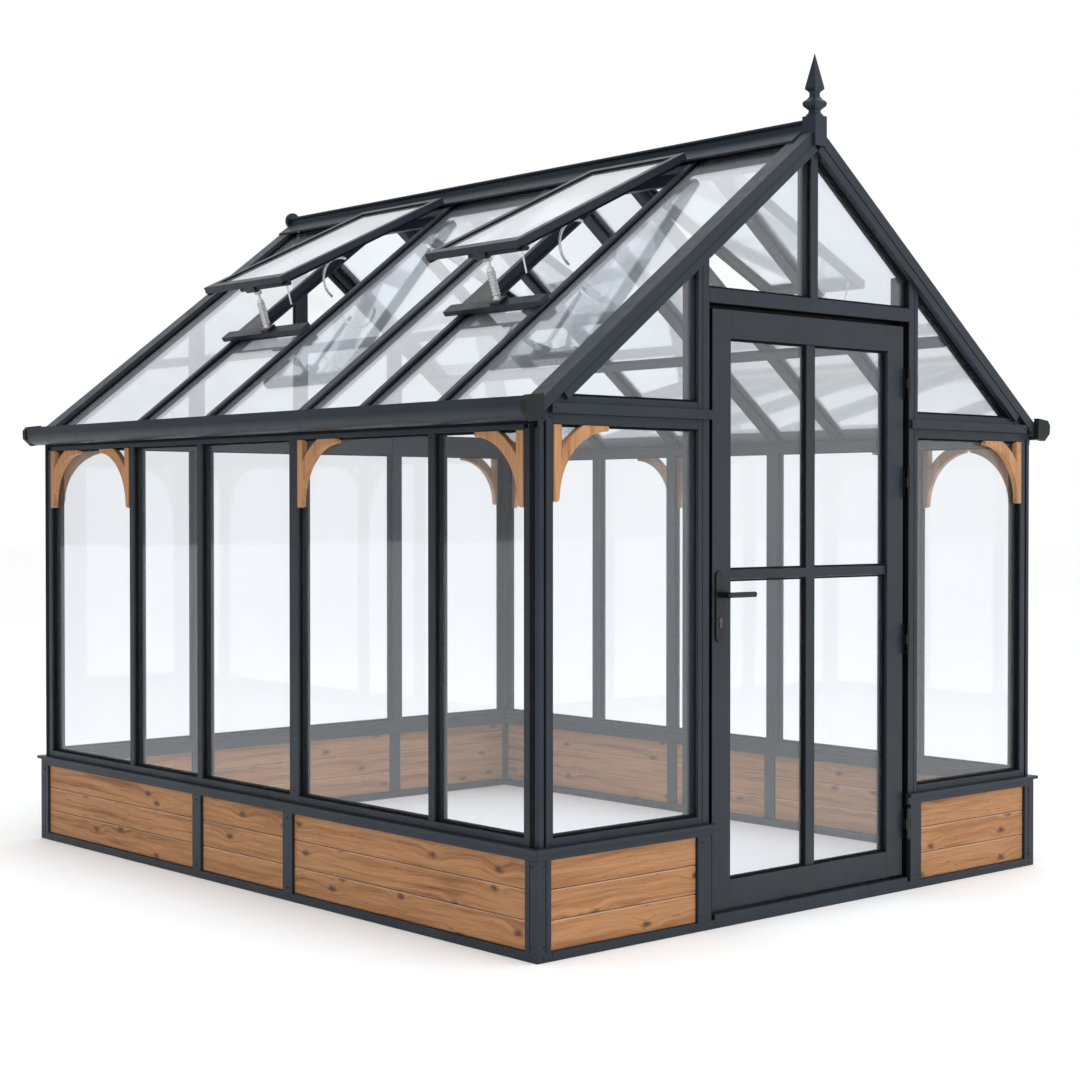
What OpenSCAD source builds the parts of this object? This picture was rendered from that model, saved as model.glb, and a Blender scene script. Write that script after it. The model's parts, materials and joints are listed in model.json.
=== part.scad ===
/* [Plan] */
// Width across the gable, outside the ground frame
base_w = 2500; // [2300:10:2700]
// Length along the ridge, outside the ground frame
base_l = 3050; // [2900:10:3300]

/* [Dwarf wall] */
// Height of the ground rail
sole_h = 28; // [20:1:40]
// Width of the ground rail
sole_d = 60; // [50:1:80]
// Height of the top of the drip cap
cap_top = 337; // [300:1:380]
// Thickness of the drip cap
cap_t = 36; // [24:1:44]
// Thickness of a boarded panel
panel_t = 28; // [20:1:34]
// Face width of the short posts in the dwarf wall
short_post_w = 56; // [44:1:64]

/* [Glazed wall] */
// Underside of the rail along the side walls, under the gutter
eave_z = 1576; // [1500:1:1600]
// Underside of the eave band across the gables
band_z = 1592; // [1500:1:1610]
// Foot of the gutters
gutter_z = 1600; // [1560:1:1610]
// Set-back of the glazed wall behind the ground frame
wall_inset = 12; // [8:1:20]
// Depth of posts and rails
bar_d = 50; // [44:1:60]
// Glass thickness
glass_t = 4; // [3:1:6]
// Face width of a glazing post
thin_post_w = 30; // [24:1:40]
// Face width of the main post
main_post_w = 53; // [44:1:64]

/* [Roof] */
// Height of the roof surface over the wall line
roof_eave_z = 1654; // [1600:1:1700]
// Height of the roof surface at the ridge line
roof_apex_z = 2619; // [2400:1:2700]
// Opening angle of the roof vents
vent_angle = 12; // [5:1:20]
// Distance down the slope from ridge line to vent hinge
vent_top = 108; // [104:1:140]
// Length of a vent down the slope
vent_len = 865; // [700:1:880]

/* [Door] */
// Width of the door leaf
leaf_w = 970; // [900:1:990]
// Height of the underside of the leaf
leaf_z0 = 52; // [50:1:60]
// Height of the top of the leaf
leaf_z1 = 1980; // [1900:1:2000]
// Thickness of the leaf
leaf_t = 44; // [40:1:48]
// Width of the leaf's stiles
stile_w = 86; // [70:1:100]
// Height of the leaf's top and bottom rails
door_rail_h = 90; // [70:1:110]
// Height of the lever's spindle
lever_z = 1065; // [950:1:1100]

/* [Hidden] */

frame_col = [0.24, 0.27, 0.30];
door_col = [0.28, 0.31, 0.34];
wood_col = [0.69, 0.48, 0.30];
oak_col = [0.76, 0.52, 0.33];
black_col = [0.07, 0.07, 0.08];
silver_col = [0.70, 0.71, 0.72];
glass_col = [0.80, 0.88, 0.92, 0.35];

fit = 1;
half_w = base_w / 2;
half_l = base_l / 2;
wall_x = half_w - wall_inset;
wall_y = half_l - wall_inset;
corner_w = 62;
pitch = atan((roof_apex_z - roof_eave_z) / half_w);

// Lengthwise places of the glazing posts, from the door end, and the
// roof bar that stands between two of them.
main_post_y = -260;
thin_posts_y = [-1010, 340, 820];
extra_bar_y = -600;
vents_y = [[-1010, -530], [340, 870]];
short_posts_y = [-235, 345];
glass_back = 20;

// Door opening
jamb_x = leaf_w / 2 + 6;
lock_gap = 18;
rebate = 17;
jamb_w = 67;
jamb_d = 70;
leaf_y = -wall_y + 8;
face_x = [jamb_x + rebate, jamb_x + jamb_w];
head_z = leaf_z1 + lock_gap;
head_h = 46;
stop_y = leaf_y + leaf_t + 6;
hinge_z = [1781, 1434, 882, 233];
hinge_h = 104;
hinge_r = 7;
hinge_x = leaf_w / 2 + 12;
hinge_y = -wall_y - 8;
lock_x = -leaf_w / 2 + 33;
spindle_r = 8;
running_gap = 0.05;

// Height of the roof surface at a distance x from the ridge line.
function roof_z(x) = roof_apex_z - x * tan(pitch);

// Drop straight down that stands for a thickness t square to the roof.
function plumb(t) = t / cos(pitch);

module block(x0, x1, y0, y1, z0, z1) {
    translate([x0, y0, z0]) cube([x1 - x0, y1 - y0, z1 - z0]);
}

module both_sides() {
    children();
    mirror([1, 0, 0]) children();
}

module both_ends() {
    children();
    mirror([0, 1, 0]) children();
}

// Right-hand roof slope: +x runs down it, +z stands square off it.
module on_slope() {
    translate([0, 0, roof_apex_z]) rotate([0, pitch, 0]) children();
}

// Section of a glazing bar: outer flange, web and wider inner flange.
// Its outer face lies on y = 0 and it reaches to y = d.
module bar_section(face_w, inner_w, d) {
    polygon([
        [-face_w / 2, 0], [face_w / 2, 0], [face_w / 2, 8], [6, 8],
        [6, d - 8], [inner_w / 2, d - 8], [inner_w / 2, d],
        [-inner_w / 2, d], [-inner_w / 2, d - 8], [-6, d - 8], [-6, 8],
        [-face_w / 2, 8]
    ]);
}

// A glazing bar standing in the right-hand wall.
module wall_post(y, face_w) {
    translate([wall_x, y, cap_top + 25]) rotate([0, 0, 90])
        linear_extrude(eave_z - cap_top - 25)
            bar_section(face_w, max(face_w, 42), bar_d);
}

// ---- Dwarf wall ----

module sole_frame() color(frame_col) {
    inner = half_w - sole_d - fit;
    both_sides() block(half_w - sole_d, half_w, -half_l, half_l, 0, sole_h);
    block(-inner, inner, half_l - sole_d, half_l, 0, sole_h);
    both_sides() block(jamb_x, inner, -half_l, -half_l + sole_d, 0,
        sole_h);
}

rear_panel_x = face_x[0] - 3 + short_post_w;

module base_posts() color(frame_col) {
    top = cap_top - cap_t;
    both_sides() both_ends()
        block(half_w - short_post_w, half_w, half_l - short_post_w, half_l,
            sole_h, top);
    both_sides() for (y = short_posts_y)
        block(half_w - 44, half_w, y - short_post_w / 2,
            y + short_post_w / 2, sole_h, top);
    both_sides() {
        block(face_x[0], face_x[1] + 11, -half_l, -wall_y - fit, sole_h,
            top);
        block(face_x[1], face_x[1] + 11, -half_l, -half_l + 44, sole_h,
            top);
        block(face_x[0] - 3, rear_panel_x, half_l - 44, half_l, sole_h,
            top);
    }
}

// One boarded panel of the right-hand side, between two short posts.
module side_panel(y0, y1) {
    block(half_w - 10 - panel_t, half_w - 10, y0, y1, sole_h,
        cap_top - cap_t);
}

module side_panels() {
    post = short_post_w / 2;
    corner = half_l - short_post_w;
    side_panel(-corner, short_posts_y[0] - post);
    side_panel(short_posts_y[0] + post, short_posts_y[1] - post);
    side_panel(short_posts_y[1] + post, corner);
}

module base_panels_side() color(wood_col) both_sides() side_panels();

module base_panels_gable() color(wood_col) {
    rear_y = half_l - 10;
    front_y = -half_l + 10;
    outer = half_w - short_post_w;
    top = cap_top - cap_t;
    block(-face_x[0] + 3, face_x[0] - 3, rear_y - panel_t, rear_y, sole_h,
        top);
    both_sides() {
        block(rear_panel_x, outer, rear_y - panel_t, rear_y, sole_h, top);
        block(face_x[1] + 11, outer, front_y, front_y + panel_t, sole_h,
            top);
    }
}

// Drip cap: a band flush with the posts under a thin lip that overhangs.
module cap_section() {
    polygon([
        [0, 0], [0, cap_t - 12], [cap_lip, cap_t - 12],
        [cap_lip, cap_t], [-cap_in, cap_t], [-cap_in, 0]
    ]);
}

cap_lip = 12;
cap_in = 66;

// A length of cap along +y with its outside on x = 0. The far end is
// mitred, and the near end is mitred or square.
module cap_length(y0, y1, square_end) {
    near = y0 + fit / 2;
    far = y1 - fit / 2;
    intersection() {
        translate([0, y1 + cap_lip, 0]) rotate([90, 0, 0])
            linear_extrude(y1 - y0 + 2 * cap_lip) cap_section();
        linear_extrude(cap_t) polygon([
            [cap_lip, square_end ? near : near - cap_lip],
            [cap_lip, far + cap_lip], [-cap_in, far - cap_in],
            [-cap_in, square_end ? near : near + cap_in]
        ]);
    }
}

module base_caps() color(frame_col) translate([0, 0, cap_top - cap_t]) {
    both_sides() translate([half_w, 0, 0])
        cap_length(-half_l, half_l, false);
    translate([0, half_l, 0]) rotate([0, 0, 90])
        cap_length(-half_w, half_w, false);
    both_sides() difference() {
        translate([0, -half_l, 0]) rotate([0, 0, -90])
            cap_length(jamb_x + 3, half_w, true);
        block(0, face_x[1], -wall_y - fit, 0, -fit, cap_t + fit);
    }
}

module threshold() color(frame_col) {
    block(-jamb_x, jamb_x, -half_l, -half_l + 84, 0, leaf_z0 - 8);
}

// ---- Glazed walls ----

// Corner post: a chamfered nose between two grooves, then a flange
// along each wall. Its outer corner lies on the origin.
module corner_section() {
    polygon([
        [8, 0], [24, 0], [24, 10], [34, 10], [34, 0], [corner_w, 0],
        [corner_w, 9], [50, 9], [50, 50], [9, 50], [9, corner_w],
        [0, corner_w], [0, 34], [10, 34], [10, 24], [0, 24], [0, 8]
    ]);
}

// The room there is for posts under the rafters of the front gable.
module below_rafters() {
    translate([0, -wall_y + 100, 0]) rotate([90, 0, 0])
        linear_extrude(200) polygon([
            [-base_w, 0], [base_w, 0],
            [base_w, roof_z(base_w) - plumb(rafter_under)],
            [0, roof_apex_z - plumb(rafter_under)],
            [-base_w, roof_z(base_w) - plumb(rafter_under)]
        ]);
}

module corner_posts() color(frame_col) both_sides() both_ends()
    intersection() {
        translate([-wall_x, -wall_y, cap_top]) linear_extrude(base_w)
            corner_section();
        below_rafters();
    }

module wall_posts() color(frame_col) both_sides() {
    for (y = thin_posts_y) wall_post(y, thin_post_w);
    wall_post(main_post_y, main_post_w);
}

module sill_rails() color(frame_col) {
    z1 = cap_top + 25;
    inner = wall_y - corner_w;
    both_sides() block(wall_x - 48, wall_x, -inner, inner, cap_top, z1);
    both_sides() block(face_x[1], wall_x - corner_w, -wall_y,
        -wall_y + 48, cap_top, z1);
    block(-face_x[0], face_x[0], wall_y - 48, wall_y, cap_top, z1);
    both_sides() block(face_x[1], wall_x - corner_w, wall_y - 48, wall_y,
        cap_top, z1);
}

module eave_rails() color(frame_col) both_sides()
    translate([0, wall_y - corner_w, 0]) rotate([90, 0, 0])
        linear_extrude(2 * (wall_y - corner_w)) polygon([
            [wall_x - 48, eave_z], [wall_x, eave_z],
            [wall_x, gutter_z - 7], [wall_x - 48, gutter_z]
        ]);

// Section of the post beside the door: outer flange with the line of its
// glazing bead, web and inner flange, and the rebate for the leaf.
module jamb_section() {
    polygon([
        [rebate, 0], [rebate + 29, 0], [rebate + 29, 3], [rebate + 31, 3],
        [rebate + 31, 0], [jamb_w, 0], [jamb_w, 10], [40, 10],
        [40, jamb_d - 16], [jamb_w, jamb_d - 16], [jamb_w, jamb_d],
        [0, jamb_d], [0, 30], [rebate, 30]
    ]);
}

module rear_post_section() {
    polygon([
        [rebate, 0], [jamb_w, 0], [jamb_w, 8], [40, 8], [40, bar_d - 8],
        [jamb_w, bar_d - 8], [jamb_w, bar_d], [rebate, bar_d]
    ]);
}

module door_posts() color(frame_col) both_sides() intersection() {
    translate([jamb_x, -wall_y, sole_h]) linear_extrude(base_w)
        jamb_section();
    below_rafters();
}

module rear_posts() color(frame_col) both_sides() mirror([0, 1, 0])
    intersection() {
        translate([jamb_x, -wall_y, cap_top]) linear_extrude(base_w)
            rear_post_section();
        below_rafters();
    }

// Depth of the eave band of a gable and the height of its three parts.
band_low = [band_z, band_z + 32];
band_high = [band_z + 62, band_z + 86];

// Distance from the ridge line at which the gable rafter's underside
// comes down to a height z.
function under_rafter_x(z) =
    (roof_apex_z - plumb(rafter_under) - z) / tan(pitch);

// A rail of the eave band in one outer bay of the front gable, cut off
// where it meets the corner post or the rafter.
module outer_bay_rail(z0, z1, y0, y1) {
    x0 = face_x[1];
    x1 = wall_x - corner_w;
    translate([0, y1, 0]) rotate([90, 0, 0]) linear_extrude(y1 - y0)
        intersection() {
            translate([x0, z0]) square([x1 - x0, z1 - z0]);
            polygon([
                [0, z0], [under_rafter_x(z0), z0],
                [under_rafter_x(z1), z1], [0, z1]
            ]);
        }
}

module outer_bay_rails() {
    outer_bay_rail(band_low[0], band_low[1], -wall_y, -wall_y + 48);
    outer_bay_rail(band_high[0], band_high[1], -wall_y + 2,
        -wall_y + 46);
}

module gable_rails() color(frame_col) {
    both_sides() both_ends() outer_bay_rails();
    block(-face_x[0], face_x[0], wall_y - 48, wall_y, band_low[0],
        band_low[1]);
    block(-face_x[0], face_x[0], wall_y - 46, wall_y - 2, band_high[0],
        band_high[1]);
}

module gable_drip_moulds() color(frame_col) {
    z0 = band_low[1];
    z1 = band_high[0];
    both_sides() block(face_x[0] + fit, wall_x - 46, -wall_y - 16,
        -wall_y, z0, z1);
    block(-wall_x + 46, wall_x - 46, wall_y, wall_y + 16, z0, z1);
    both_sides() both_ends() outer_bay_rail(z0, z1, -wall_y,
        -wall_y + 44);
    block(-face_x[0], face_x[0], wall_y - 44, wall_y, z0, z1);
}

// Head of the door frame, let in between the two jambs.
module door_head() color(frame_col) {
    z1 = head_z + head_h;
    block(-jamb_x, jamb_x, -wall_y, stop_y, head_z, z1);
    both_sides() block(jamb_x, face_x[0], -wall_y, -wall_y + 30 - fit,
        head_z, z1);
}

module king_post(z0) intersection() {
    translate([0, -wall_y, z0]) linear_extrude(base_w)
        bar_section(36, 60, bar_d);
    below_rafters();
}

module king_posts() color(frame_col) {
    king_post(head_z + head_h);
    mirror([0, 1, 0]) king_post(band_high[1]);
}

module door_stops() color(black_col) {
    z1 = leaf_z1 - 14;
    both_sides() block(jamb_x - 20, jamb_x, stop_y, stop_y + 12, leaf_z0,
        z1 - fit);
    block(-jamb_x, jamb_x, stop_y, stop_y + 12, z1, head_z);
}

// ---- Roof ----

rake_y = [-half_l - 5, -half_l + 70];
rake_t = 36;
rafter_top = 39;
rafter_t = 28;
rafter_under = rafter_top + rafter_t;

// A bar laid up one slope against a gable, plumb cut at both ends.
module sloped_bar(x0, x1, top, t, y0, y1) {
    translate([0, y1, 0]) rotate([90, 0, 0]) linear_extrude(y1 - y0)
        polygon([
            [x0, roof_z(x0) - plumb(top)], [x1, roof_z(x1) - plumb(top)],
            [x1, roof_z(x1) - plumb(top + t)],
            [x0, roof_z(x0) - plumb(top + t)]
        ]);
}

module rakes() color(frame_col) both_sides() both_ends()
    sloped_bar(30, wall_x - fit, 0, rake_t, rake_y[0], rake_y[1]);

// A flange or the web of a gable rafter, between two depths behind the
// face of the gable.
module rafter_part(t, d0, d1) {
    sloped_bar(30, wall_x - 4, rafter_top, t, -wall_y + d0, -wall_y + d1);
}

module gable_rafters() color(frame_col) both_sides() both_ends() {
    rafter_part(rafter_t, 0, 8);
    rafter_part(12, 8, 40);
    rafter_part(rafter_t, 40, 48);
}

// Depth of a roof bar under its outer face, and its two ends.
roof_bar_d = 46;
roof_bar_top = -8;
bar_u = [
    (16 - (roof_bar_top - roof_bar_d) * sin(pitch)) / cos(pitch),
    (wall_x - fit - roof_bar_top * sin(pitch)) / cos(pitch)
];

// A glazing bar of the right-hand slope, laid down the slope.
module roof_bar(y, face_w, inner_w) {
    translate([bar_u[0], y, roof_bar_top]) rotate([0, 90, 0])
        linear_extrude(bar_u[1] - bar_u[0]) rotate([0, 0, -90])
            bar_section(face_w, inner_w, roof_bar_d);
}

module roof_bars() color(frame_col) both_sides() on_slope() {
    for (y = thin_posts_y) roof_bar(y, 26, 44);
    roof_bar(main_post_y, 44, 56);
    roof_bar(extra_bar_y, 26, 44);
}

module ridge_cap() color(frame_col) {
    y0 = -half_l + 43;
    translate([0, half_l + 5, 0]) rotate([90, 0, 0])
        linear_extrude(half_l + 5 - y0)
            polygon([
                [0, roof_apex_z + 22], [23, roof_apex_z + 22],
                [25, roof_apex_z + 15], [15, roof_apex_z + 7],
                [17, roof_apex_z - 6], [30, roof_apex_z - 17],
                [80, roof_z(80) + 9], [80, roof_z(80) + fit],
                [28, roof_z(28) + fit], [-28, roof_z(28) + fit],
                [-80, roof_z(80) + fit], [-80, roof_z(80) + 9],
                [-30, roof_apex_z - 17],
                [-17, roof_apex_z - 6], [-15, roof_apex_z + 7],
                [-25, roof_apex_z + 15], [-23, roof_apex_z + 22]
            ]);
}

module ridge_beam() color(frame_col) {
    block(-15, 15, -wall_y + bar_d, wall_y - bar_d, roof_apex_z - 118,
        roof_z(28));
}

// Flat rail under the glazing bars of each slope, at the vents' sills.
module purlins() color(frame_col) both_sides() on_slope()
    translate([vent_top + vent_len + 24, -wall_y + bar_d,
        roof_bar_top - roof_bar_d - 18])
            cube([44, 2 * (wall_y - bar_d), 18]);

// Gutter: a low back, a flat foot and a bellied front with a lip. Its
// back lies on x = 0 and its foot on z = 0.
gutter_w = 72;
gutter_h = 70;
belly_r = 40;

module gutter_outline(shrink) {
    intersection() {
        translate([gutter_w - belly_r, belly_r])
            circle(belly_r - shrink, $fn = 64);
        square(belly_r * 2);
    }
    translate([shrink, shrink])
        square([gutter_w - belly_r - shrink, gutter_h]);
    translate([shrink, belly_r])
        square([gutter_w - 2 * shrink, gutter_h]);
}

module gutter_section() {
    difference() {
        gutter_outline(0);
        gutter_outline(3.5);
        translate([-1, gutter_h]) square(2 * gutter_h);
        translate([-1, 14]) square([12, 2 * gutter_h]);
    }
    translate([gutter_w - 10, gutter_h - 5]) square([10, 5]);
}

module gutters() color(frame_col) both_sides()
    translate([wall_x + fit, half_l, gutter_z]) rotate([90, 0, 0])
        linear_extrude(base_l) gutter_section();

module gutter_ends() color(black_col) both_sides() both_ends()
    translate([wall_x + fit, -half_l, gutter_z]) rotate([90, 0, 0])
        linear_extrude(22) polygon([
            [0, 2], [44, -4], [76, 24], [78, 56], [64, 73], [4, 80]
        ]);

// Turned outline of the finial, given as half-widths and heights.
function finial_half() = [
    [0, 0], [20, 0], [20, 6], [15, 12], [14, 20], [20, 27], [27, 34],
    [29, 43], [27, 50], [19, 57], [13, 66], [12, 76], [14, 82], [23, 91],
    [23, 96], [0, 212]
];

module finial() color(frame_col) {
    y_mid = -half_l + 13;
    block(-29, 29, y_mid - 29, y_mid + 29, roof_apex_z - 68,
        roof_apex_z + 32);
    translate([0, y_mid, roof_apex_z + 32]) rotate([0, 0, 45])
        rotate_extrude($fn = 4)
            polygon([for (p = finial_half()) [p[0] * sqrt(2), p[1]]]);
}

module rear_ridge_boss() color(frame_col)
    translate([0, half_l + 6, roof_apex_z + 10]) rotate([-90, 0, 0])
        cylinder(h = 12, r = 36);

// ---- Roof vents ----

// Gap between bars that each vent opens from, and the height of its
// sill's top over the roof surface.
vent_bays_y = [
    [thin_posts_y[0], extra_bar_y], [thin_posts_y[1], thin_posts_y[2]]
];
curb_h = 12;

// Sill across the foot of each vent opening, and the bar under the
// ridge cap that its flap hangs from.
module vent_curbs() color(frame_col) both_sides() on_slope() {
    for (v = vents_y)
        translate([vent_top + vent_len - 22, v[0] - 10, roof_bar_top + fit])
            cube([46, v[1] - v[0] + 20, curb_h - roof_bar_top - fit]);
    for (b = vent_bays_y)
        translate([bar_u[0] + 4, b[0] + 14, -30])
            cube([vent_top - bar_u[0] + 4, b[1] - b[0] - 28, 20]);
}

// Places children at a vent's hinge line, on its opened flap.
module on_flap(v) {
    on_slope() translate([vent_top, v[0], curb_h])
        rotate([0, -vent_angle, 0]) children();
}

flap_side_w = 34;

module vent_frames() color(frame_col) both_sides() for (v = vents_y)
    on_flap(v) {
        wide = v[1] - v[0];
        cube([vent_len, flap_side_w, 26]);
        translate([0, wide - flap_side_w, 0])
            cube([vent_len, flap_side_w, 26]);
        translate([0, flap_side_w, 0])
            cube([flap_side_w, wide - 2 * flap_side_w, 26]);
        translate([vent_len - 42, flap_side_w, 0])
            cube([42, wide - 2 * flap_side_w, 26]);
    }

module vent_glass() color(glass_col) both_sides() for (v = vents_y)
    on_flap(v) translate([flap_side_w + fit, flap_side_w + fit, 14])
        cube([vent_len - 42 - flap_side_w - 2 * fit,
            v[1] - v[0] - 2 * flap_side_w - 2 * fit, glass_t]);

opener_u = vent_top + vent_len;
opener_len = 146;
opener_lean = 20;

// Each opener stands a little off the middle, towards the door end.
function opener_y(v) = v[0] + 0.44 * (v[1] - v[0]);

// Places children at the foot of an opener, on top of the sill, with +z
// along its cylinder.
module on_opener(v) {
    on_slope() translate([opener_u, opener_y(v), curb_h + 11])
        rotate([0, -opener_lean, 0]) children();
}

module vent_openers() color(silver_col) both_sides() for (v = vents_y)
    on_opener(v) {
        translate([0, 0, 4]) cylinder(h = 104, r = 12);
        translate([0, 0, 108]) cylinder(h = opener_len - 108, r = 6);
    }

module opener_brackets() color(black_col) both_sides()
    for (v = vents_y) {
        on_slope() translate([opener_u - 20, opener_y(v) - 26, curb_h])
            cube([40, 52, 11]);
        on_flap(v) translate([vent_len - 72, opener_y(v) - v[0] - 30,
            -22]) cube([68, 60, 22]);
    }

// ---- Glass ----

side_pane_z = [cap_top + 25 + fit, eave_z - fit];
gable_pane_z = [cap_top + 25 + fit, band_z - fit];

// Widths of the panes of a side, from corner post to corner post.
side_stops = [
    -wall_y + corner_w + fit, thin_posts_y[0], main_post_y,
    thin_posts_y[1], thin_posts_y[2], wall_y - corner_w - fit
];
web_gap = 7;

module side_glass() color(glass_col) both_sides()
    for (i = [0 : 4]) {
        y0 = side_stops[i] + (i > 0 ? web_gap : 0);
        y1 = side_stops[i + 1] - (i < 4 ? web_gap : 0);
        block(wall_x - glass_back - glass_t, wall_x - glass_back, y0, y1,
            side_pane_z[0], side_pane_z[1]);
    }

// A pane of the front gable drawn in its own plane.
module gable_pane(points) {
    translate([0, -wall_y + glass_back + glass_t, 0]) rotate([90, 0, 0])
        linear_extrude(glass_t) polygon(points);
}

function under_rafter(x) = roof_z(x) - plumb(rafter_under + fit);

module outer_gable_panes() {
    x0 = jamb_x + 40 + fit;
    x1 = wall_x - corner_w - fit;
    gable_pane([[x0, gable_pane_z[0]], [x1, gable_pane_z[0]],
        [x1, gable_pane_z[1]], [x0, gable_pane_z[1]]]);
    z0 = band_high[1] + fit;
    tip = under_rafter_x(z0) - 8;
    gable_pane([[x0, z0], [tip, z0], [tip, under_rafter(tip)],
        [x0, under_rafter(x0)]]);
}

module upper_gable_pane(z0) {
    x1 = face_x[0] - fit;
    gable_pane([[web_gap, z0], [x1, z0], [x1, under_rafter(x1)],
        [30, under_rafter(30)], [web_gap, under_rafter(30)]]);
}

module gable_glass() color(glass_col) {
    both_sides() {
        both_ends() outer_gable_panes();
        upper_gable_pane(head_z + head_h + fit);
        mirror([0, 1, 0]) upper_gable_pane(band_high[1] + fit);
    }
    mirror([0, 1, 0]) gable_pane([
        [-face_x[0] + fit, gable_pane_z[0]],
        [face_x[0] - fit, gable_pane_z[0]],
        [face_x[0] - fit, gable_pane_z[1]],
        [-face_x[0] + fit, gable_pane_z[1]]
    ]);
}

// A pane of the right-hand slope.
module roof_pane(u0, u1, y0, y1) {
    translate([u0, y0, -30]) cube([u1 - u0, y1 - y0, glass_t]);
}

pane_u = [bar_u[0], (half_w + 12) / cos(pitch)];
vent_pane_u = vent_top + vent_len - 20;
rake_glass_y = -rake_y[1] - fit;

module roof_glass() color(glass_col) both_sides() on_slope() {
    roof_pane(pane_u[0], pane_u[1], -rake_glass_y, thin_posts_y[0] - 7);
    roof_pane(vent_pane_u, pane_u[1], thin_posts_y[0] + 7,
        extra_bar_y - 7);
    roof_pane(pane_u[0], pane_u[1], extra_bar_y + 7, main_post_y - 7);
    roof_pane(pane_u[0], pane_u[1], main_post_y + 7,
        thin_posts_y[1] - 7);
    roof_pane(vent_pane_u, pane_u[1], thin_posts_y[1] + 7,
        thin_posts_y[2] - 7);
    roof_pane(pane_u[0], pane_u[1], thin_posts_y[2] + 7, rake_glass_y);
}

// ---- Wooden corner brackets ----

bracket_h = 230;
bracket_w = 228;
bracket_leg = [30, 150];
bracket_reach = 224;
arch_reach = 204;
brace_r = [206, 248];
brace_tip_r = 9;
brace_foot_r = 12;

// What is cut away to round a corner that points to +x and -y.
module nick(x, y, r) {
    translate([x - r, y]) difference() {
        translate([0, -2]) square([r + 2, r + 2]);
        translate([0, r]) circle(r, $fn = 48);
    }
}

// Upright leg with an arched brace across it. The corner of post and
// rail is on the origin, the leg hangs down -y and the brace reaches
// along +x under the rail.
module bracket_outline(reach) {
    translate([0, -bracket_leg[1]]) square(bracket_leg);
    difference() {
        intersection() {
            translate([bracket_w, -bracket_w + 6]) difference() {
                circle(brace_r[1], $fn = 96);
                circle(brace_r[0], $fn = 96);
            }
            translate([0, -bracket_h]) square([reach, bracket_h]);
        }
        nick(reach, -17, brace_tip_r);
        nick(bracket_w - brace_r[0], -bracket_h, brace_foot_r);
    }
}

module bracket(reach = bracket_reach) {
    translate([0, 18, 0]) rotate([90, 0, 0]) linear_extrude(23)
        bracket_outline(reach);
}

// A bracket of the right-hand long wall, behind a post's rear face at y.
module rearward_bracket(y, reach = bracket_reach) {
    translate([wall_x, y, eave_z - fit]) rotate([0, 0, 90])
        bracket(reach);
}

// The same, before a post's front face.
module forward_bracket(y, reach = bracket_reach) {
    translate([wall_x, y, eave_z - fit]) rotate([0, 0, 90])
        mirror([1, 0, 0]) bracket(reach);
}

module corner_brackets() color(oak_col) {
    corner_y = wall_y - corner_w - fit;
    main = main_post_w / 2 + fit;
    thin = thin_post_w / 2 + fit;
    both_ends() both_sides() translate([-wall_x + corner_w + fit,
        -wall_y, band_z - fit]) bracket();
    both_sides() forward_bracket(corner_y);
    // The left wall has an arch over its rear bay.
    mirror([1, 0, 0]) {
        rearward_bracket(-corner_y);
        forward_bracket(main_post_y - main);
        rearward_bracket(thin_posts_y[2] + thin);
    }
    // The right wall has one over its narrower front bay.
    rearward_bracket(-corner_y, arch_reach);
    forward_bracket(thin_posts_y[0] - thin, arch_reach);
    rearward_bracket(thin_posts_y[0] + thin);
    forward_bracket(thin_posts_y[1] - thin);
    rearward_bracket(thin_posts_y[1] + thin);
}

// ---- Door ----

module lock_bores(r) {
    translate([lock_x, leaf_y - 20, lever_z]) rotate([-90, 0, 0])
        cylinder(h = leaf_t + 40, r = r);
}

module door_stiles() color(door_col) difference() {
    both_sides() block(leaf_w / 2 - stile_w, leaf_w / 2, leaf_y,
        leaf_y + leaf_t, leaf_z0, leaf_z1);
    lock_bores(spindle_r + running_gap);
    barrel_shape(0.3);
}

module door_rails() color(door_col) {
    x1 = leaf_w / 2 - stile_w;
    block(-x1, x1, leaf_y, leaf_y + leaf_t, leaf_z0,
        leaf_z0 + door_rail_h);
    block(-x1, x1, leaf_y, leaf_y + leaf_t, leaf_z1 - door_rail_h,
        leaf_z1);
}

bar_z = [1113, 1143];
mullion_w = 42;
opening_x = leaf_w / 2 - stile_w;
opening_z = [leaf_z0 + door_rail_h, leaf_z1 - door_rail_h];

module door_bars() color(door_col) {
    y0 = leaf_y + 8;
    y1 = leaf_y + leaf_t - 8;
    block(-opening_x, opening_x, y0, y1, bar_z[0], bar_z[1]);
    block(-mullion_w / 2, mullion_w / 2, y0, y1, opening_z[0], bar_z[0]);
    block(-mullion_w / 2, mullion_w / 2, y0, y1, bar_z[1], opening_z[1]);
}

module door_glass() color(glass_col) {
    y0 = leaf_y + leaf_t / 2 - 3;
    both_sides() {
        block(mullion_w / 2 + fit, opening_x - fit, y0, y0 + 6,
            opening_z[0] + fit, bar_z[0] - fit);
        block(mullion_w / 2 + fit, opening_x - fit, y0, y0 + 6,
            bar_z[1] + fit, opening_z[1] - fit);
    }
}

// One butt hinge's fixed half: plate in the rebate, two knuckles and the
// pin.
module hinge_frame_half() {
    third = hinge_h / 3;
    translate([8, 9, 0]) cube([3, 24, hinge_h]);
    for (z = [0, 2 * third]) translate([0, 0, z]) {
        cylinder(h = third, r = hinge_r);
        translate([0, -3, 0]) cube([11, 12, third]);
    }
    translate([0, 0, -4]) cylinder(h = hinge_h + 8, r = 3);
}

module hinge_frame_halves() color(black_col) for (z = hinge_z)
    translate([hinge_x, hinge_y, z - hinge_h / 2]) hinge_frame_half();

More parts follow.
